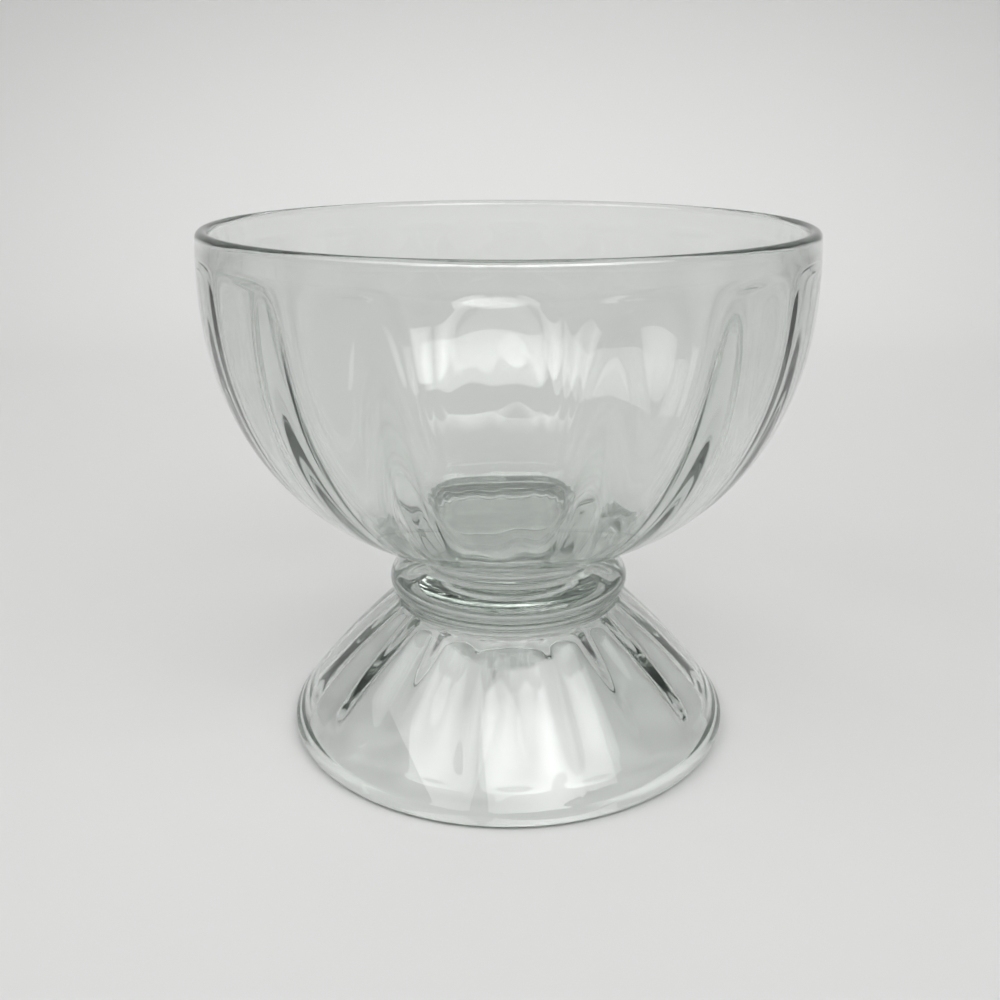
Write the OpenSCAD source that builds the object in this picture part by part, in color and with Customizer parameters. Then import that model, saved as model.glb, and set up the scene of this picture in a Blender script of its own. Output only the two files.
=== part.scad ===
// Footed parfait glass in clear pressed glass: a round bowl, a collar and a hollow foot, joined hot.
// Millimetres, +Z up. The origin is on the axis, at table level under the foot.

/* [Overall] */
// Height from the table to the top of the lip
overall_h = 114; // [106:1:124]

/* [Bowl] */
// Radius of the bowl at its widest level
bowl_r = 64.1; // [60:0.1:68]
// Radius of the bowl's flat underside, at its joint with the collar
neck_r = 20.4; // [18:0.2:22]
// Drop from the top of the lip to the bowl's widest level
bowl_drop = 11; // [8:0.5:14]
// Thickness of the round lip
lip_t = 3.4; // [2.8:0.1:4.4]
// Thickness of the bowl's wall at its widest level, in the corners between panels
bowl_wall = 3; // [2:0.1:3.6]
// Radius of the flat floor inside the bowl
floor_r = 18; // [14:0.5:22]
// Thickness of glass between the floor and the joint under it
floor_t = 5.5; // [5:0.5:10]
// Number of panels round the inside of the bowl
bowl_panels = 16; // [14:2:24]
// Turn of the bowl's panels about the axis, in degrees
bowl_panel_turn = 9; // [0:1:22]
// Drop from the top of the lip to the pointed tops of the panels
panel_drop = 6; // [5:0.5:10]
// Depth of the panels half-way down, measured from the curve of the wall
bowl_panel_depth = 1.1; // [0.8:0.1:1.8]
// Width of the plain ring between the floor and the lower ends of the panels
floor_ring = 0.6; // [0.3:0.1:2]

/* [Collar] */
// Width across the round edge of the collar
collar_d = 54.2; // [50:0.2:60]
// Height of the collar between its two joints
collar_h = 11.5; // [9:0.5:14]
// Radius of the collar's round edge
collar_edge_r = 6.3; // [5:0.1:8]

/* [Foot] */
// Width across the edge of the foot
foot_d = 100.8; // [92:0.2:110]
// Height of the foot, from the table to its joint with the collar
foot_h = 31; // [27:0.5:36]
// Radius of the foot's top, at its joint with the collar
foot_top_r = 24; // [22:0.5:26]
// Radius of the rounded edge that rests on the table
foot_edge_r = 1.6; // [1:0.1:2.4]
// How far the foot's side bows out from a straight cone
foot_bow = 1.5; // [0.8:0.1:3]
// Thickness of the foot's wall, in the corners between panels
foot_wall = 4.6; // [3.6:0.1:6]
// Thickness of glass over the hollow of the foot
foot_crown_t = 4; // [3:0.5:6]
// Radius of the corner at the top of the hollow
foot_dome_r = 7; // [4:0.5:9]
// Number of panels round the inside of the foot
foot_panels = 16; // [14:2:30]
// Turn of the foot's panels about the axis, in degrees
foot_panel_turn = 13; // [0:1:22]
// Height above the table of the rounded ends of the panels
foot_panel_rise = 5; // [4:0.5:8]
// How far the curve of the panels is set down from the curve of the wall
foot_panel_lift = 5; // [3:0.5:7]

/* [Hidden] */
// Sub-parts in the order they are stacked
// Sub-part to draw, or all of them
// Fineness of round shapes on screen
$fn = 96;
// Overrun of every cut past the face it opens
over = 1;

// Levels of the joints and of the bowl
collar_z = foot_h;
bowl_z = collar_z + collar_h;
floor_z = bowl_z + floor_t;
wide_z = overall_h - bowl_drop;
lip_z = overall_h - lip_t / 2;

// Outside curve of the bowl: level at the widest point, and down to the edge of the underside
bowl_run = bowl_r - neck_r;
bowl_curve_r = (pow(bowl_run, 2) + pow(wide_z - bowl_z, 2)) / (2 * bowl_run);
bowl_curve = [bowl_r - bowl_curve_r, wide_z];
lip_out_r = bowl_curve[0] + sqrt(pow(bowl_curve_r, 2) - pow(lip_z - wide_z, 2));

// Wall curve inside the bowl: level at the widest point, and down to the edge of the floor
wall_r = bowl_r - bowl_wall;
wall_run = wall_r - floor_r;
wall_curve_r = (pow(wall_run, 2) + pow(wide_z - floor_z, 2)) / (2 * wall_run);
wall_curve = [wall_r - wall_curve_r, wide_z];
// Panel curve inside the bowl: a flatter arc from the floor's ring up to the wall curve
panel_z = overall_h - panel_drop;
panel_low = [floor_r + floor_ring, floor_z];
panel_high = [wall_curve[0] + sqrt(pow(wall_curve_r, 2) - pow(panel_z - wide_z, 2)), panel_z];
panel_half = norm(panel_high - panel_low) / 2;
panel_bow = wall_curve_r - sqrt(pow(wall_curve_r, 2) - pow(panel_half, 2)) - bowl_panel_depth;
panel_curve_r = (pow(panel_half, 2) + pow(panel_bow, 2)) / (2 * panel_bow);
panel_out = [panel_high[1] - panel_low[1], panel_low[0] - panel_high[0]] / (2 * panel_half);
panel_curve = (panel_low + panel_high) / 2 - (panel_curve_r - panel_bow) * panel_out;

// Side of the foot: an arc from the rounded edge up to the top
foot_edge = [foot_d / 2 - foot_edge_r, foot_edge_r];
foot_low = foot_edge + foot_edge_r * [cos(45), sin(45)];
foot_high = [foot_top_r, foot_h];
foot_run = norm(foot_high - foot_low);
foot_out = [foot_high[1] - foot_low[1], foot_low[0] - foot_high[0]] / foot_run;
foot_side_r = (pow(foot_run / 2, 2) + pow(foot_bow, 2)) / (2 * foot_bow);
foot_curve = (foot_low + foot_high) / 2 - (foot_side_r - foot_bow) * foot_out;
// Hollow of the foot: its side follows the outside, its corner is rounded under the crown
dome_z = foot_h - foot_crown_t;
dome_side_r = foot_side_r - foot_wall;
dome_corner_z = dome_z - foot_dome_r;
dome_reach = dome_side_r - foot_dome_r;
dome_corner_r = foot_curve[0] + sqrt(pow(dome_reach, 2) - pow(dome_corner_z - foot_curve[1], 2));
dome_bend_z = foot_curve[1] + (dome_corner_z - foot_curve[1]) * dome_side_r / dome_reach;
// Panel curve of the foot: the hollow's side set down along itself from the ends of the panels
foot_panel_a = asin((foot_panel_rise - foot_curve[1]) / dome_side_r);
foot_panel_curve = foot_curve + foot_panel_lift * [sin(foot_panel_a), -cos(foot_panel_a)];

// Half-plane strip from the axis out to a width, between two levels
module strip(width, low, high) {
    translate([0, low]) square([width, high - low]);
}

// Disc about a point of the half-plane
module disc(centre, radius) {
    translate(centre) circle(radius, $fn = 4 * $fn);
}

// Prisms with a flat side for each panel, which meet in a ring of panels
module panel_ring(count, turn, reach) {
    pitch = 360 / count;
    intersection_for (i = [0 : count / 2 - 1]) {
        rotate([0, 0, turn + pitch / 2 + pitch * i])
            rotate([90, 0, 0])
                linear_extrude(2 * reach, center = true) {
                    children();
                    mirror([1, 0]) children();
                }
    }
}

// Half outline of the bowl's hollow along one of its two curves
module bowl_hollow_half(curve, curve_r) {
    strip(curve[0], floor_z, overall_h + over);
    intersection() {
        disc(curve, curve_r);
        strip(bowl_r, floor_z, overall_h + over);
    }
}

// Half outline of the foot's hollow along the panel curve
module foot_panel_half() {
    intersection() {
        disc(foot_panel_curve, dome_side_r);
        strip(foot_d, -over, foot_h);
    }
}

// Half outline of the round hollow of the foot
module foot_hollow_half() {
    strip(dome_corner_r, dome_corner_z, dome_z);
    intersection() {
        disc([dome_corner_r, dome_corner_z], foot_dome_r);
        strip(foot_d, dome_corner_z, dome_z);
    }
    intersection() {
        disc(foot_curve, dome_side_r);
        strip(foot_d, -over, dome_bend_z);
    }
}

// Bowl: round outside, panels inside, flat floor and a round lip
module bowl() {
    color("PowderBlue", 0.5) {
        difference() {
            rotate_extrude() {
                strip(max(bowl_curve[0], neck_r / 2), bowl_z, lip_z);
                intersection() {
                    disc(bowl_curve, bowl_curve_r);
                    strip(bowl_r, bowl_z, lip_z);
                }
            }
            intersection() {
                rotate_extrude() bowl_hollow_half(wall_curve, wall_curve_r);
                panel_ring(bowl_panels, bowl_panel_turn, bowl_r + over) bowl_hollow_half(panel_curve, panel_curve_r);
            }
        }
        rotate_extrude() disc([lip_out_r - lip_t / 2, lip_z], lip_t / 2);
    }
}

// Collar: a solid button with a round edge between the two joints
module collar() {
    color("LightSteelBlue", 0.5) rotate_extrude() {
        strip(collar_d / 2 - collar_edge_r, collar_z, bowl_z);
        intersection() {
            disc([collar_d / 2 - collar_edge_r, collar_z + collar_h / 2], collar_edge_r);
            strip(collar_d, collar_z, bowl_z);
        }
    }
}

// Foot: a bell with a rounded edge, hollow from below, panels inside
module foot() {
    color("LightBlue", 0.5) difference() {
        rotate_extrude() {
            strip(foot_edge[0], 0, foot_low[1]);
            intersection() {
                disc(foot_edge, foot_edge_r);
                strip(foot_d, 0, foot_h);
            }
            intersection() {
                disc(foot_curve, foot_side_r);
                strip(foot_d, foot_low[1], foot_h);
            }
        }
        intersection() {
            rotate_extrude() foot_hollow_half();
            panel_ring(foot_panels, foot_panel_turn, foot_d) foot_panel_half();
        }
    }
}

foot();
collar();
bowl();
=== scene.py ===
import math

import bmesh
import bpy
from bpy.props import FloatProperty, FloatVectorProperty, IntProperty, PointerProperty
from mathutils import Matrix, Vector


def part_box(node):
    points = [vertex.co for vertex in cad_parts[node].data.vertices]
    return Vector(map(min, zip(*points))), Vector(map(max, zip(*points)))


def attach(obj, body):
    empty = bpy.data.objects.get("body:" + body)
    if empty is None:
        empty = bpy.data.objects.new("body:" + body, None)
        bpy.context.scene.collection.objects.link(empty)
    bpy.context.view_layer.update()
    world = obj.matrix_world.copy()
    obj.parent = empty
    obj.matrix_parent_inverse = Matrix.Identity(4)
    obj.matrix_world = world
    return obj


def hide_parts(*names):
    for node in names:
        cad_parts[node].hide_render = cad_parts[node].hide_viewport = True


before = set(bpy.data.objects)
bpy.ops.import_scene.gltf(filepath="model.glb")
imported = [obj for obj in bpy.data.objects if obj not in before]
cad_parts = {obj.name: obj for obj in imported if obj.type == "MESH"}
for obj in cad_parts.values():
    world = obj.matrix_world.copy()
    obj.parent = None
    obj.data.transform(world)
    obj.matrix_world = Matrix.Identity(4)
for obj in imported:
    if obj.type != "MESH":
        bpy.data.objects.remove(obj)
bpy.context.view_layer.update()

bl_info = {
    "name": "Parfait Glass",
    "version": (1, 0, 0),
    "blender": (4, 5, 0),
    "location": "3D View > Sidebar > Parfait",
    "description": "Builds a footed parfait glass in clear pressed glass, and a plain stage for it",
    "category": "Add Mesh",
}

MM = 0.001
BOWL_LOW, BOWL_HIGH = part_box("bowl")
FOOT_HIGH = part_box("foot")[1]

# Columns of mesh round the glass: a whole number for each flute
COLUMNS = 448
# Steps of mesh along the outside of the bowl and along the side of the foot
BOWL_SIDE_STEPS = 63
FOOT_SIDE_STEPS = 57
# Distance within which two points of a turned mesh are one, or a point lies on the axis
MERGE = 0.0005 * MM
ON_AXIS = 0.001 * MM
# Upright share of a normal from which a face is flat
FLAT_SHARE = 0.999999

# Gap between the see-through faces of a hot joint, so that light meets them one after the other
JOINT_GAP = 0.004 * MM
# Distance that the points of the bend under the bowl keep from the joint that cuts it
JOINT_CLEARANCE = 0.1 * MM

# Pulls of the bend under the bowl: in and down from the skirt, and out and up from the groove
SKIRT_PULL = (2.3 * MM, 1.0 * MM)
GROOVE_PULL = (0.35 * MM, 1.1 * MM)
# Where the round of the lip starts inside and ends outside, in degrees
LIP_START = 178.0
LIP_END = -8.0
# Drop from the lip's centre to where the wall bends into it, and the pull of that bend
LIP_BLEND = 2.4 * MM
LIP_PULL = 0.8 * MM
# Pulls of the crease under the collar's edge: in and down from the edge, and up from the seat
CREASE_PULL = (0.35 * MM, 0.4 * MM)
SEAT_PULL = 0.4 * MM

# Drop of the foot's shoulder below its joint
SHOULDER_DROP = 0.1 * MM
# Where the rounded edge of the foot starts under its side, in degrees
FOOT_EDGE_START = 42.0
# The circle that the foot stands on lies half this far out from the middle of the sole
SOLE_SHIFT = 0.9 * MM
# Pulls of the sole: in from the foot's edge, and out and in from that circle
EDGE_PULL = 0.4 * MM
SOLE_OUT_PULL = 0.6 * MM
SOLE_IN_PULL = 0.8 * MM
# Pull of the sole at the hollow: distance out from the hollow's rim, and level above the table
RIM_PULL = (0.25 * MM, 0.3 * MM)

# Parts of the mould, and the height over which its lines fade out
MOULD_PARTS = 3
SEAM_FADE = 3 * MM

# How strongly the glass bends light
GLASS_IOR = 1.515
# Patterns in the glass and on the paper, in cells per metre
SMUDGE_SCALE = 38.0
STREAK_SCALE = 22.0
GRAIN_SCALE = 420.0
MOTTLE_SCALE = 6.0
# Roughness of a smudge
SMUDGE_ROUGHNESS = 0.012
# Levels in millimetres between which the wear under the foot fades out
WORN_FULL = 0.06
WORN_NONE = 0.30
# Darkest share of the paper's colour
PAPER_SHARE = 0.985

# Floor and backdrop, in metres: a sheet that bends up behind the glass
SHEET_WIDTH = 3.2
SHEET_FRONT = -1.2
SHEET_BEND_START = 0.40
SHEET_BEND_RADIUS = 0.30
SHEET_TOP = 1.5
# Points that the lamps are turned to: two of them to the glass, one to the backdrop
GLASS_AIM = (0.0, 0.0, 0.05)
BACKDROP_AIM = (0.0, 0.70, 0.40)

# Sockets of a Mix node that are used to mix two colours
MIX_SHARE, MIX_FIRST, MIX_SECOND, MIX_RESULT = 0, 6, 7, 2


def length(name, description, default):
    """A size in metres for a property group."""
    return FloatProperty(
        name=name, description=description, default=default, min=0.0, unit="LENGTH", precision=5
    )


def number(name, description, default, unit="NONE"):
    """A plain number, or one with a unit, for a property group."""
    return FloatProperty(name=name, description=description, default=default, min=0.0, unit=unit)


def colour(name, description, default):
    """A colour for a property group."""
    return FloatVectorProperty(
        name=name, description=description, default=default, size=3, min=0.0, max=1.0, subtype="COLOR"
    )


def angle(name, description, degrees):
    """An angle for a property group."""
    return FloatProperty(
        name=name, description=description, default=math.radians(degrees), subtype="ANGLE"
    )


def flute_count(default):
    """A number of flutes for a property group."""
    return IntProperty(
        name="Flutes", description="Number of flutes round the inside", default=default, min=8
    )


class BowlSizes(bpy.types.PropertyGroup):
    """Sizes of the bowl"""

    rim_level: length("Rim level", "Top of the lip above the table", BOWL_HIGH[2])
    joint_level: length("Joint level", "Joint between the bowl and the collar", BOWL_LOW[2])
    outer_radius: length("Outer radius", "Radius at the widest level", 63.79 * MM)
    wide_level: length("Wide level", "Level where the bowl is widest", 103.95 * MM)
    skirt_level: length("Skirt level", "Level where the outside bends in to the groove", 46.5 * MM)
    depth: length("Depth of curve", "Widest level to the bottom of the outside curve", 62.44 * MM)
    fullness: number("Fullness", "Power of the outside curve, 2 for round", 2.19)
    lip: length("Lip", "Thickness of the rounded lip", 2.9 * MM)
    wall_radius: length("Wall curve", "Radius of the curve down the inside", 56.64 * MM)
    wall_centre: length("Wall curve centre", "Distance of that curve's centre from the axis", 4.46 * MM)
    wall_level: length("Wall curve level", "Level of that curve's centre", 103.0 * MM)
    flute_depth: length("Flute depth", "Depth of the flutes half-way down", 1.7 * MM)
    flute_top: length("Flute top", "Level of the arched tops of the flutes", 108.0 * MM)
    flute_fullness: number("Flute ends", "How blunt the ends of the flutes are", 2.4)
    floor_round: length("Floor corner", "Radius of the corner round the floor", 8.0 * MM)
    floor_level: length("Floor level", "Flat floor inside, above the table", 48.0 * MM)
    flutes: flute_count(16)
    turn: angle("Turn", "Turn of the flutes about the axis", 9.0)


class CollarSizes(bpy.types.PropertyGroup):
    """Sizes of the collar"""

    radius: length("Radius", "Radius across the round edge", 27.1 * MM)
    edge_width: length("Edge width", "Half-width of the round edge", 6.8 * MM)
    groove_radius: length("Groove radius", "Radius at the bottom of the groove under the bowl", 19.5 * MM)
    groove_level: length("Groove level", "Level of that groove above the table", 40.0 * MM)
    edge_start: angle("Edge start", "Where the round edge starts under the groove", 95.0)
    edge_end: angle("Edge end", "Where the round edge ends above the foot", -35.0)
    seat_radius: length("Seat radius", "Radius of the joint with the foot", 25.5 * MM)


class FootSizes(bpy.types.PropertyGroup):
    """Sizes of the foot"""

    joint_level: length("Joint level", "Joint between the foot and the collar", FOOT_HIGH[2])
    top_radius: length("Top radius", "Radius of the shoulder under the collar", 26.0 * MM)
    edge_radius: length("Edge radius", "Radius of the rounded edge on the table", 2.6 * MM)
    edge_reach: length("Edge reach", "Distance of the edge's centre from the axis", 47.7 * MM)
    sole_rise: length("Sole rise", "Rise of the sole away from the circle it stands on", 0.14 * MM)
    bow: length("Bow", "How far the side bows out from a straight cone", 0.7 * MM)
    rim_level: length("Rim level", "Level where the sole ends and the hollow's side starts", 1.4 * MM)
    hollow_radius: length("Hollow curve", "Radius of the curve up the side of the hollow", 118.779 * MM)
    hollow_centre: length("Hollow curve centre", "Distance of its centre beyond the axis", 52.849 * MM)
    hollow_depth: length("Hollow curve depth", "Depth of its centre below the table", 65.523 * MM)
    flute_depth: length("Flute depth", "Depth of the flutes half-way up", 1.3 * MM)
    flute_end: length("Flute end", "Level of the rounded ends of the flutes", 4.5 * MM)
    flute_fullness: number("Flute ends", "How blunt the ends of the flutes are", 2.4)
    ceiling: length("Ceiling", "Top of the hollow above the table", 27.0 * MM)
    corner: length("Corner", "Radius of the corner at the top of the hollow", 7.0 * MM)
    flutes: flute_count(16)
    turn: angle("Turn", "Turn of the flutes about the axis", 13.0)


class GlassFinish(bpy.types.PropertyGroup):
    """Finish of the pressed glass"""

    tint: colour("Tint", "Colour of the clear glass", (0.945, 0.953, 0.945))
    deep_tint: colour("Deep tint", "Colour of the glass where it is a little darker", (0.925, 0.937, 0.927))
    body: colour("Body", "Colour that builds up in thick glass", (0.944, 0.950, 0.9455))
    density: number("Density", "How fast that colour builds up, per metre", 140.0)
    wave: length("Wave", "Height of the slow waves in the pressed surface", 0.03 * MM)
    wave_length: length("Wave length", "Distance from wave to wave", 14.0 * MM)
    seam: length("Seam", "Height of the line left by the mould", 0.07 * MM)
    seam_turn: angle("Seam turn", "Turn of the first mould line about the axis", -71.0)
    scuff: number("Scuff", "Roughness of the worn ring under the foot", 0.22)


class StageLook(bpy.types.PropertyGroup):
    """Floor, backdrop, light and camera"""

    floor: colour("Floor", "Colour of the floor and backdrop", (0.68, 0.682, 0.675))
    room: number("Room", "Brightness of the room behind the camera", 0.10)
    surround: number("Surround", "Brightness at the sides and the back", 0.235)
    key: number("Key lamp", "Lamp above and in front", 1.6, unit="POWER")
    side: number("Side lamp", "Lamp above at the left", 0.84, unit="POWER")
    back: number("Back lamp", "Lamp above the backdrop", 3.45, unit="POWER")
    spread: angle("Lamp spread", "Angle the lamps throw their light into", 76.0)
    distance: length("Camera distance", "Camera in front of the axis", 237.8 * MM)
    height: length("Camera height", "Camera above the table", 135.8 * MM)
    pitch: angle("Camera pitch", "How far the camera looks down", 19.25)
    lens: number("Lens", "Focal length in millimetres", 40.07)
    shift: FloatProperty(name="Shift", description="Shift of the picture to the right", default=-0.0085)


class Wire:
    """One output of a node. Sums on it add Math nodes to the same material."""

    def __init__(self, tree, socket=None):
        self.tree = tree
        self.socket = socket

    def add(self, kind, settings=None, values=None, out=0):
        """Add a node: its settings are set first, then the values or links of its sockets."""
        node = self.tree.nodes.new(kind)
        for name, value in (settings or {}).items():
            if name == "stops":
                ramp = node.color_ramp.elements
                while len(ramp) < len(value):
                    ramp.new(1.0)
                for stop, (place, shade) in zip(ramp, value):
                    stop.position = place
                    stop.color = (*shade, 1.0)
            else:
                setattr(node, name, value)
        for name, value in (values or {}).items():
            socket = node.inputs[name]
            if isinstance(value, Wire):
                self.tree.links.new(value.socket, socket)
            elif socket.type == "RGBA":
                socket.default_value = (*value, 1.0)
            else:
                socket.default_value = value
        return Wire(self.tree, node.outputs[out] if len(node.outputs) else None)

    def math(self, operation, first, second):
        """Add a Math node on two values."""
        return self.add("ShaderNodeMath", {"operation": operation}, {0: first, 1: second})

    def __add__(self, other):
        return self.math("ADD", self, other)

    def __radd__(self, other):
        return self.math("ADD", other, self)

    def __mul__(self, other):
        return self.math("MULTIPLY", self, other)

    def __rmul__(self, other):
        return self.math("MULTIPLY", other, self)

    def mix(self, low, high):
        """Colour between two others, with this value as the share of the second."""
        values = {MIX_SHARE: self, MIX_FIRST: low, MIX_SECOND: high}
        return self.add("ShaderNodeMix", {"data_type": "RGBA"}, values, out=MIX_RESULT)

    def ramp(self, *stops):
        """Share from 0 to 1 read off a ramp at this value."""
        shades = [(place, (level, level, level)) for place, level in stops]
        return self.add("ShaderNodeValToRGB", {"stops": shades}, {0: self})

    def noise(self, scale, detail, roughness=0.5):
        """Soft random value at this place, with so many cells per metre."""
        values = {"Vector": self, "Scale": scale, "Detail": detail, "Roughness": roughness}
        return self.add("ShaderNodeTexNoise", None, values)


def new_material(name):
    """An empty material, and a wire to start its nodes from."""
    material = bpy.data.materials.new(name)
    material.use_nodes = True
    material.node_tree.nodes.clear()
    return material, Wire(material.node_tree)


def pressed_glass(name, finish, joints, worn_foot=False):
    """Clear pressed glass: faint grey-green, slow waves, light smudges, and a worn foot if asked.

    At the levels of its hot joints the glass runs on into the next piece, so those faces are see-through.
    """
    material, wire = new_material(name)
    place = wire.add("ShaderNodeTexCoord", out="Object")
    level = wire.add("ShaderNodeSeparateXYZ", None, {"Vector": place}, out="Z")
    waves = place.noise(1.0 / finish.wave_length, detail=1.0, roughness=0.4)
    bump = {"Strength": 1.0, "Distance": finish.wave, "Height": waves}
    smudge = place.noise(SMUDGE_SCALE, detail=4.0, roughness=0.6).ramp((0.52, 0.0), (0.78, 1.0))
    streak = place.noise(STREAK_SCALE, detail=2.0).ramp((0.35, 0.0), (0.70, 1.0))
    roughness = smudge * SMUDGE_ROUGHNESS
    if worn_foot:
        grain = place.noise(GRAIN_SCALE, detail=3.0).ramp((0.30, 0.35), (0.62, 1.0))
        worn = (level * (1.0 / MM)).ramp((WORN_FULL, 1.0), (WORN_NONE, 0.0)) * grain
        roughness = roughness + worn * finish.scuff
    glass = wire.add(
        "ShaderNodeBsdfPrincipled",
        None,
        {
            "Base Color": streak.mix(finish.tint, finish.deep_tint),
            "Roughness": roughness,
            "IOR": GLASS_IOR,
            "Transmission Weight": 1.0,
            "Normal": wire.add("ShaderNodeBump", None, bump, out="Normal"),
        },
    )
    clear = wire.add("ShaderNodeBsdfTransparent", None, {"Color": (1.0, 1.0, 1.0)})
    joined = None
    for joint in joints:
        near = {0: level, 1: joint, 2: 2 * JOINT_GAP}
        face = wire.add("ShaderNodeMath", {"operation": "COMPARE"}, near)
        joined = face if joined is None else joined + face
    look = wire.add("ShaderNodeMixShader", None, {0: joined, 1: glass, 2: clear})
    body = wire.add(
        "ShaderNodeVolumeAbsorption", None, {"Color": finish.body, "Density": finish.density}
    )
    wire.add("ShaderNodeOutputMaterial", None, {"Surface": look, "Volume": body})
    return material


def arc(centre, radius, start, end, steps, squash=1.0):
    """Points along an arc in the half-plane, between two angles in degrees."""
    points = []
    for i in range(steps + 1):
        a = math.radians(start + (end - start) * i / steps)
        points.append((centre[0] + radius * math.cos(a), centre[1] + radius * squash * math.sin(a)))
    return points


def bend(first, first_pull, second_pull, second, steps):
    """Points along a soft bend between two points, without its ends."""
    points = []
    for i in range(1, steps):
        t = i / steps
        parts = ((1 - t) ** 3, 3 * t * (1 - t) ** 2, 3 * t * t * (1 - t), t**3)
        places = (first, first_pull, second_pull, second)
        points.append(tuple(sum(k * p[n] for k, p in zip(parts, places)) for n in (0, 1)))
    return points


def line(first, second, steps):
    """Points along a straight line, without its second end."""
    return [tuple(a + (b - a) * i / steps for a, b in zip(first, second)) for i in range(steps)]


def turned(runs, turn, flutes):
    """Turn an outline once round the axis, a flute's width at a time.

    Each run's number in the list stays on its vertices.
    """
    bm = bmesh.new()
    mark = bm.verts.layers.int.new("run")
    last = None
    for run, points in enumerate(runs):
        for radius, level in points:
            vert = bm.verts.new((radius * math.cos(turn), radius * math.sin(turn), level))
            vert[mark] = run
            if last is not None:
                bm.edges.new((last, vert))
            last = vert
    about = {"cent": (0.0, 0.0, 0.0), "axis": (0.0, 0.0, 1.0), "dvec": (0.0, 0.0, 0.0)}
    pitch = math.tau / flutes
    outline = bm.verts[:] + bm.edges[:]
    bmesh.ops.spin(bm, geom=outline, angle=pitch, steps=round(COLUMNS / flutes), **about)
    sector = bm.verts[:] + bm.edges[:] + bm.faces[:]
    rest = {"angle": math.tau - pitch, "steps": flutes - 1, "use_duplicate": True}
    bmesh.ops.spin(bm, geom=sector, **rest, **about)
    bmesh.ops.remove_doubles(bm, verts=bm.verts[:], dist=MERGE)
    return bm, mark


def full_curve(share, power):
    """Height of a full round curve, at a share of its half-width. A power of 2 gives a plain round."""
    return max(0.0, 1.0 - abs(share) ** power) ** (1.0 / power)


def outside(bowl, level):
    """Radius of the bowl's outside curve at a level."""
    return bowl.outer_radius * full_curve((bowl.wide_level - level) / bowl.depth, bowl.fullness)


def underside(bowl, collar):
    """The bend from the bowl's outside in to the groove, cut by the joint.

    Gives its points above the joint, its radius at the joint, and its points below the joint.
    """
    first = (outside(bowl, bowl.skirt_level), bowl.skirt_level)
    last = (collar.groove_radius, collar.groove_level)
    first_pull = (first[0] - SKIRT_PULL[0], first[1] - SKIRT_PULL[1])
    last_pull = (last[0] + GROOVE_PULL[0], last[1] + GROOVE_PULL[1])
    points = bend(first, first_pull, last_pull, last, steps=24) + [last]
    above = [point for point in points if point[1] > bowl.joint_level + JOINT_CLEARANCE]
    below = [point for point in points if point[1] < bowl.joint_level - JOINT_CLEARANCE]
    share = (above[-1][1] - bowl.joint_level) / (above[-1][1] - below[0][1])
    joint_radius = above[-1][0] + (below[0][0] - above[-1][0]) * share
    return above, joint_radius, below


def press_flutes(bm, mark, fluted, flutes, turn, depth):
    """Press smooth flutes into some runs.

    The function depth gives, at a level, how far a ridge between two flutes stands into the hollow.
    """
    for vert in bm.verts:
        radius = math.hypot(vert.co.x, vert.co.y)
        if vert[mark] not in fluted or radius < ON_AXIS:
            continue
        wave = 0.5 - 0.5 * math.cos(flutes * (math.atan2(vert.co.y, vert.co.x) - turn))
        pressed = radius - depth(vert.co.z) * wave
        vert.co.x *= pressed / radius
        vert.co.y *= pressed / radius


def raise_seams(bm, mark, seamed, finish, low, high):
    """Raise the fine lines that the mould leaves on the outside, fading out towards both ends."""
    step = math.tau / COLUMNS
    for vert in bm.verts:
        if vert[mark] not in seamed:
            continue
        turn = math.atan2(vert.co.y, vert.co.x) - finish.seam_turn + step / 2
        if turn % (math.tau / MOULD_PARTS) >= step:
            continue
        radius = math.hypot(vert.co.x, vert.co.y)
        inset = min(vert.co.z - low, high - vert.co.z)
        fade = min(1.0, max(0.0, inset / SEAM_FADE))
        vert.co.x *= 1.0 + finish.seam * fade / radius
        vert.co.y *= 1.0 + finish.seam * fade / radius


def add_piece(name, bm, glass, joints, node):
    """Finish a turned mesh as a piece: smooth faces with a sharp edge at each joint, and its place."""
    bmesh.ops.recalc_face_normals(bm, faces=bm.faces[:])
    joined = set()
    for face in bm.faces:
        face.smooth = True
        gap = min(abs(face.verts[0].co.z - level) for level in joints)
        if abs(face.normal.z) > FLAT_SHARE and gap < JOINT_GAP:
            joined.add(face)
    for edge in bm.edges:
        if len({face in joined for face in edge.link_faces}) > 1:
            edge.smooth = False
    mesh = bpy.data.meshes.new(name)
    bm.to_mesh(mesh)
    bm.free()
    mesh.materials.append(glass)
    piece = bpy.data.objects.new(name, mesh)
    bpy.context.scene.collection.objects.link(piece)
    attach(piece, "root")
    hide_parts(node)


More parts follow.
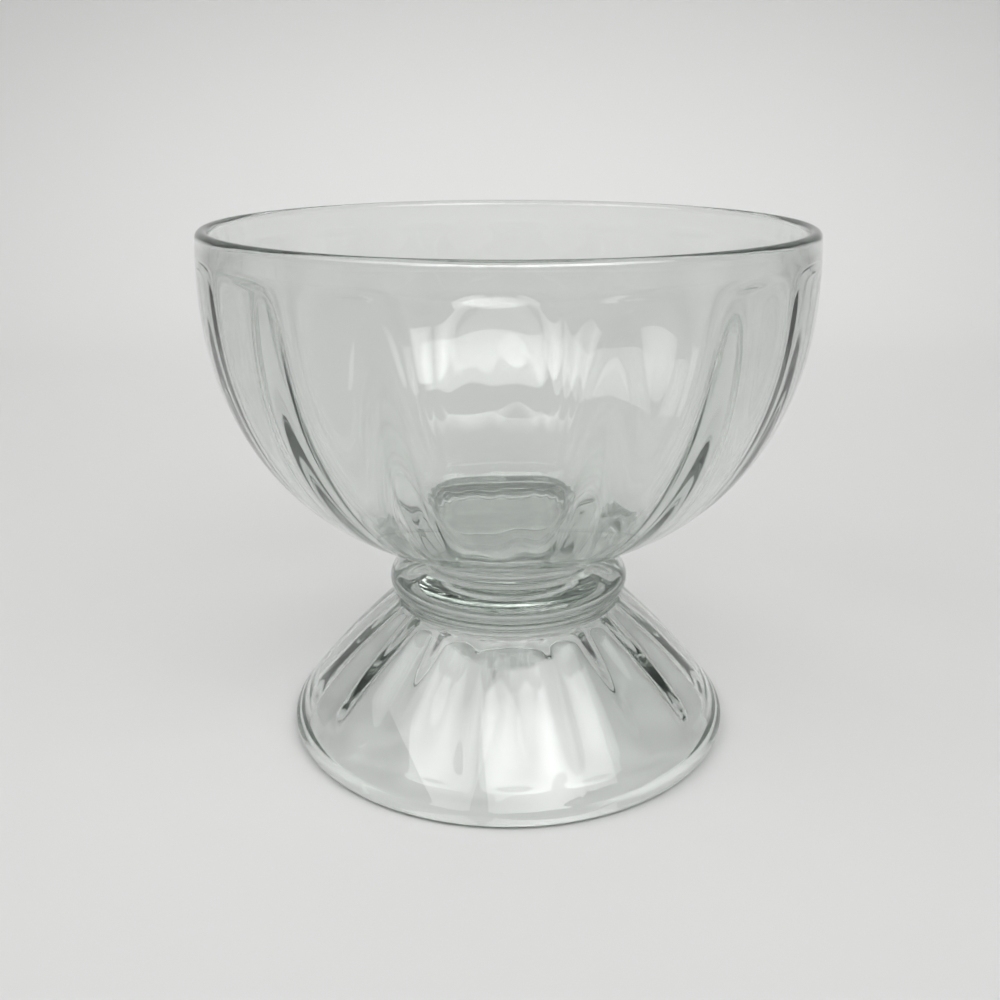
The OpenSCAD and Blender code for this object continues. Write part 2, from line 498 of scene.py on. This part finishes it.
class PARFAIT_OT_bowl(bpy.types.Operator):
    """Turn the bowl, with its flutes, floor and lip"""

    bl_idname = "parfait.make_bowl"
    bl_label = "Bowl"

    def execute(self, context):
        scene = context.scene
        bowl = scene.parfait_bowl
        lip_radius = bowl.lip / 2
        lip_level = bowl.rim_level - lip_radius

        def wall(level):
            return bowl.wall_centre + math.sqrt(bowl.wall_radius**2 - (level - bowl.wall_level) ** 2)

        def ridge(level):
            share = min(1.0, (level - bowl.floor_level) / (bowl.flute_top - bowl.floor_level))
            return bowl.flute_depth * full_curve(2 * share - 1, bowl.flute_fullness)

        # The floor, the corner round it and the wall, up to where it bends into the lip
        round_level = bowl.floor_level + bowl.floor_round
        round_reach = bowl.wall_radius - bowl.floor_round
        round_radius = bowl.wall_centre + math.sqrt(round_reach**2 - (bowl.wall_level - round_level) ** 2)
        start = math.degrees(math.asin((round_level - bowl.wall_level) / round_reach))
        wall_top = lip_level - LIP_BLEND
        end = math.degrees(math.asin((wall_top - bowl.wall_level) / bowl.wall_radius))
        floor = line((0.0, bowl.floor_level), (round_radius, bowl.floor_level), steps=8)
        corner = arc((round_radius, round_level), bowl.floor_round, -90.0, start, steps=10)[:-1]
        inside = arc((bowl.wall_centre, bowl.wall_level), bowl.wall_radius, start, end, steps=80)

        # The lip and the bend that leads into it
        lip_centre = (outside(bowl, lip_level) - lip_radius, lip_level)
        lip = arc(lip_centre, lip_radius, LIP_START, LIP_END, steps=26)
        wall_pull = (wall(wall_top + LIP_PULL), wall_top + LIP_PULL)
        inner_lip = bend(inside[-1], wall_pull, (lip[0][0], lip[0][1] - LIP_PULL), lip[0], steps=6)

        # The outside, the bend under it and the joint
        lip_end = lip[-1][1]
        side = []
        for i in range(1, BOWL_SIDE_STEPS + 1):
            share = math.sin(i / BOWL_SIDE_STEPS * math.pi / 2)
            level = lip_end + (bowl.skirt_level - lip_end) * share
            side.append((outside(bowl, level), level))
        crease, joint_radius, _ = underside(bowl, scene.parfait_collar)
        middle = (0.0, bowl.joint_level)
        joint = line((joint_radius, bowl.joint_level), middle, steps=4) + [middle]

        runs = [floor, corner, inside, inner_lip, lip, side, crease, joint]
        fluted = [runs.index(corner), runs.index(inside)]
        bm, mark = turned(runs, bowl.turn, bowl.flutes)
        press_flutes(bm, mark, fluted, bowl.flutes, bowl.turn, ridge)
        joints = (bowl.joint_level,)
        glass = pressed_glass("bowl_glass", scene.parfait_finish, joints)
        add_piece("bowl_pressed", bm, glass, joints, "bowl")
        return {"FINISHED"}


class PARFAIT_OT_collar(bpy.types.Operator):
    """Turn the collar between the bowl and the foot"""

    bl_idname = "parfait.make_collar"
    bl_label = "Collar"

    def execute(self, context):
        scene = context.scene
        collar = scene.parfait_collar
        foot = scene.parfait_foot
        high = scene.parfait_bowl.joint_level - JOINT_GAP
        low = foot.joint_level + JOINT_GAP

        # The joint under the bowl, the groove and the round edge
        _, joint_radius, groove = underside(scene.parfait_bowl, collar)
        top = line((0.0, high), (joint_radius, high), steps=4) + [(joint_radius, high)]
        centre = (collar.radius - collar.edge_width, (low + collar.groove_level) / 2)
        squash = (collar.groove_level - low) / 2 / collar.edge_width
        start = math.degrees(collar.edge_start)
        end = math.degrees(collar.edge_end)
        edge = arc(centre, collar.edge_width, start, end, steps=46, squash=squash)

        # The crease under the edge and the joint with the foot
        seat = (collar.seat_radius, low)
        edge_pull = (edge[-1][0] - CREASE_PULL[0], edge[-1][1] - CREASE_PULL[1])
        crease = bend(edge[-1], edge_pull, (seat[0], low + SEAT_PULL), seat, steps=5)
        under = line(seat, (0.0, low), steps=4) + [(0.0, low)]

        runs = [top, groove, edge, crease, under]
        bm, mark = turned(runs, foot.turn, foot.flutes)
        raise_seams(bm, mark, [runs.index(edge)], scene.parfait_finish, low, high)
        glass = pressed_glass("collar_glass", scene.parfait_finish, (low, high))
        add_piece("collar_button", bm, glass, (low, high), "collar")
        return {"FINISHED"}


class PARFAIT_OT_foot(bpy.types.Operator):
    """Turn the hollow foot, with its flutes and the ring it stands on"""

    bl_idname = "parfait.make_foot"
    bl_label = "Foot"

    def execute(self, context):
        scene = context.scene
        foot = scene.parfait_foot

        def hollow(level):
            return math.sqrt(foot.hollow_radius**2 - (level + foot.hollow_depth) ** 2) - foot.hollow_centre

        def ridge(level):
            share = min(1.0, (level - foot.flute_end) / (2 * (foot.ceiling - foot.flute_end)))
            return foot.flute_depth * full_curve(2 * share - 1, foot.flute_fullness)

        # The joint with the collar, the side and the rounded edge
        seat = (scene.parfait_collar.seat_radius, foot.joint_level)
        top = line((0.0, foot.joint_level), seat, steps=4)
        edge_centre = (foot.edge_reach, foot.edge_radius + foot.sole_rise)
        edge = arc(edge_centre, foot.edge_radius, FOOT_EDGE_START, -90.0, steps=18)
        shoulder = Vector((foot.top_radius, foot.joint_level - SHOULDER_DROP))
        run = Vector(edge[0]) - shoulder
        out = Vector((-run.y, run.x)).normalized()
        side = []
        for i in range(FOOT_SIDE_STEPS):
            t = i / FOOT_SIDE_STEPS
            point = shoulder + run * t + out * (4 * foot.bow * t * (1 - t))
            side.append((point.x, point.y))

        # The sole, which stands on one circle and rises from it to both sides
        low_edge = edge[-1]
        rim = (hollow(foot.rim_level), foot.rim_level)
        sole = ((low_edge[0] + rim[0] + SOLE_SHIFT) / 2, 0.0)
        edge_pull = (low_edge[0] - EDGE_PULL, low_edge[1])
        rim_pull = (rim[0] + RIM_PULL[0], RIM_PULL[1])
        sole_out = bend(low_edge, edge_pull, (sole[0] + SOLE_OUT_PULL, 0.0), sole, steps=6)
        sole_in = [sole] + bend(sole, (sole[0] - SOLE_IN_PULL, 0.0), rim_pull, rim, steps=10)

        # The hollow: its side, the corner at its top and the ceiling
        corner_level = foot.ceiling - foot.corner
        reach = foot.hollow_radius - foot.corner
        corner_radius = math.sqrt(reach**2 - (corner_level + foot.hollow_depth) ** 2) - foot.hollow_centre
        bend_height = (corner_level + foot.hollow_depth) * foot.hollow_radius / reach
        low = math.degrees(math.asin((foot.rim_level + foot.hollow_depth) / foot.hollow_radius))
        high = math.degrees(math.asin(bend_height / foot.hollow_radius))
        centre = (-foot.hollow_centre, -foot.hollow_depth)
        inside = arc(centre, foot.hollow_radius, low, high, steps=60)
        corner = arc((corner_radius, corner_level), foot.corner, high, 90.0, steps=14)[1:]
        middle = (0.0, foot.ceiling)
        ceiling = line(corner[-1], middle, steps=6)[1:] + [middle]

        runs = [top, [seat], side, edge, sole_out, sole_in, inside, corner, ceiling]
        fluted = [runs.index(inside), runs.index(corner)]
        bm, mark = turned(runs, foot.turn, foot.flutes)
        press_flutes(bm, mark, fluted, foot.flutes, foot.turn, ridge)
        raise_seams(bm, mark, [runs.index(side)], scene.parfait_finish, 0.0, foot.joint_level)
        joints = (foot.joint_level,)
        glass = pressed_glass("foot_glass", scene.parfait_finish, joints, worn_foot=True)
        add_piece("foot_pressed", bm, glass, joints, "foot")
        return {"FINISHED"}


def add_sheet(scene, colour_of_paper):
    """The floor and backdrop: one sheet of pale paper that bends up behind the glass."""
    bm = bmesh.new()
    bend_centre = (SHEET_BEND_START, SHEET_BEND_RADIUS)
    profile = [(SHEET_FRONT, 0.0)]
    profile += arc(bend_centre, SHEET_BEND_RADIUS, -90.0, 0.0, steps=20)
    profile += [(SHEET_BEND_START + SHEET_BEND_RADIUS, SHEET_TOP)]
    last = None
    for y, z in profile:
        vert = bm.verts.new((-SHEET_WIDTH / 2, y, z))
        if last is not None:
            bm.edges.new((last, vert))
        last = vert
    swept = bmesh.ops.extrude_edge_only(bm, edges=bm.edges[:])
    moved = [item for item in swept["geom"] if isinstance(item, bmesh.types.BMVert)]
    bmesh.ops.translate(bm, verts=moved, vec=(SHEET_WIDTH, 0.0, 0.0))
    bmesh.ops.recalc_face_normals(bm, faces=bm.faces[:])
    if bm.faces[0].normal.z < 0.0:
        bmesh.ops.reverse_faces(bm, faces=bm.faces[:])
    for face in bm.faces:
        face.smooth = True
    mesh = bpy.data.meshes.new("floor_sweep")
    bm.to_mesh(mesh)
    bm.free()

    material, wire = new_material("pale_paper")
    mottle = wire.add("ShaderNodeTexCoord", out="Object").noise(MOTTLE_SCALE, detail=3.0)
    darker = tuple(PAPER_SHARE * part for part in colour_of_paper)
    shade = mottle.mix(darker, colour_of_paper)
    values = {"Base Color": shade, "Roughness": 0.6, "Specular IOR Level": 0.2}
    paper = wire.add("ShaderNodeBsdfPrincipled", None, values)
    wire.add("ShaderNodeOutputMaterial", None, {"Surface": paper})
    mesh.materials.append(material)
    floor = bpy.data.objects.new("floor_sweep", mesh)
    scene.collection.objects.link(floor)


def light_room(scene, stage):
    """Dim light from all round: darker behind the camera, lighter at the sides and the back."""
    world = bpy.data.worlds.new("studio")
    world.use_nodes = True
    world.node_tree.nodes.clear()
    wire = Wire(world.node_tree)
    way = wire.add("ShaderNodeTexCoord", out="Generated")
    # From -1 straight behind the camera to 1 straight ahead of it
    ahead = wire.add("ShaderNodeSeparateXYZ", None, {"Vector": way}, out="Y")
    share = (ahead * 0.5 + 0.5).ramp((0.0, 0.0), (0.5, 1.0))
    shade = share.mix((stage.room,) * 3, (stage.surround,) * 3)
    light = wire.add("ShaderNodeBackground", None, {"Color": shade, "Strength": 1.0})
    wire.add("ShaderNodeOutputWorld", None, {"Surface": light})
    scene.world = world


def add_lamp(name, place, target, size, power, spread):
    """A soft rectangular lamp that points at a target."""
    lamp = bpy.data.lights.new(name, "AREA")
    lamp.shape = "RECTANGLE"
    lamp.size, lamp.size_y = size
    lamp.energy = power
    lamp.spread = spread
    holder = bpy.data.objects.new(name, lamp)
    holder.location = place
    holder.rotation_euler = (Vector(target) - Vector(place)).to_track_quat("-Z", "Y").to_euler()
    bpy.context.scene.collection.objects.link(holder)


def add_camera(scene, stage):
    """The camera in front of the glass, at the angle of the photo."""
    lens = bpy.data.cameras.new("camera")
    lens.sensor_width = 36.0
    lens.lens = stage.lens
    lens.shift_x = stage.shift
    lens.clip_start = 0.01
    camera = bpy.data.objects.new("camera", lens)
    camera.location = (0.0, -stage.distance, stage.height)
    camera.rotation_euler = (math.pi / 2 - stage.pitch, 0.0, 0.0)
    scene.collection.objects.link(camera)
    scene.camera = camera


class PARFAIT_OT_stage(bpy.types.Operator):
    """Set the floor and backdrop, the light and the camera"""

    bl_idname = "parfait.set_stage"
    bl_label = "Stage"

    def execute(self, context):
        scene = context.scene
        stage = scene.parfait_stage
        add_sheet(scene, stage.floor)
        light_room(scene, stage)
        for name, place, target, size, power in (
            ("key_lamp", (0.26, -0.518, 0.719), GLASS_AIM, (1.00, 0.48), stage.key),
            ("side_lamp", (-0.474, -0.332, 0.689), GLASS_AIM, (0.90, 0.45), stage.side),
            ("back_lamp", (0.0, 0.15, 1.30), BACKDROP_AIM, (1.60, 0.50), stage.back),
        ):
            add_lamp(name, place, target, size, power, stage.spread)
        add_camera(scene, stage)

        scene.view_settings.view_transform = "Standard"
        # Thick glass needs long light paths, or its dark lines turn black
        scene.cycles.max_bounces = 28
        scene.cycles.transmission_bounces = 28
        scene.cycles.glossy_bounces = 24
        scene.cycles.transparent_max_bounces = 40
        # Glass behind glass stays sharp
        scene.cycles.blur_glossy = 0.1
        return {"FINISHED"}


class PARFAIT_PT_panel(bpy.types.Panel):
    """Lists the sizes, finish and stage, and the buttons that build them"""

    bl_idname = "PARFAIT_PT_panel"
    bl_label = "Parfait Glass"
    bl_space_type = "VIEW_3D"
    bl_region_type = "UI"
    bl_category = "Parfait"

    def draw(self, context):
        scene = context.scene
        for title, group, operator in (
            ("Bowl", scene.parfait_bowl, PARFAIT_OT_bowl),
            ("Collar", scene.parfait_collar, PARFAIT_OT_collar),
            ("Foot", scene.parfait_foot, PARFAIT_OT_foot),
            ("Finish", scene.parfait_finish, None),
            ("Stage", scene.parfait_stage, PARFAIT_OT_stage),
        ):
            box = self.layout.box()
            box.label(text=title)
            for name in group.__annotations__:
                box.prop(group, name)
            if operator:
                box.operator(operator.bl_idname)


GROUPS = {
    "parfait_bowl": BowlSizes,
    "parfait_collar": CollarSizes,
    "parfait_foot": FootSizes,
    "parfait_finish": GlassFinish,
    "parfait_stage": StageLook,
}
CLASSES = (
    *GROUPS.values(),
    PARFAIT_OT_stage,
    PARFAIT_OT_bowl,
    PARFAIT_OT_collar,
    PARFAIT_OT_foot,
    PARFAIT_PT_panel,
)


def register():
    for item in CLASSES:
        bpy.utils.register_class(item)
    for name, group in GROUPS.items():
        setattr(bpy.types.Scene, name, PointerProperty(type=group))


def unregister():
    for name in GROUPS:
        delattr(bpy.types.Scene, name)
    for item in reversed(CLASSES):
        bpy.utils.unregister_class(item)


def main():
    register()
    bpy.ops.parfait.set_stage()
    bpy.ops.parfait.make_bowl()
    bpy.ops.parfait.make_collar()
    bpy.ops.parfait.make_foot()


if __name__ == "__main__":
    main()
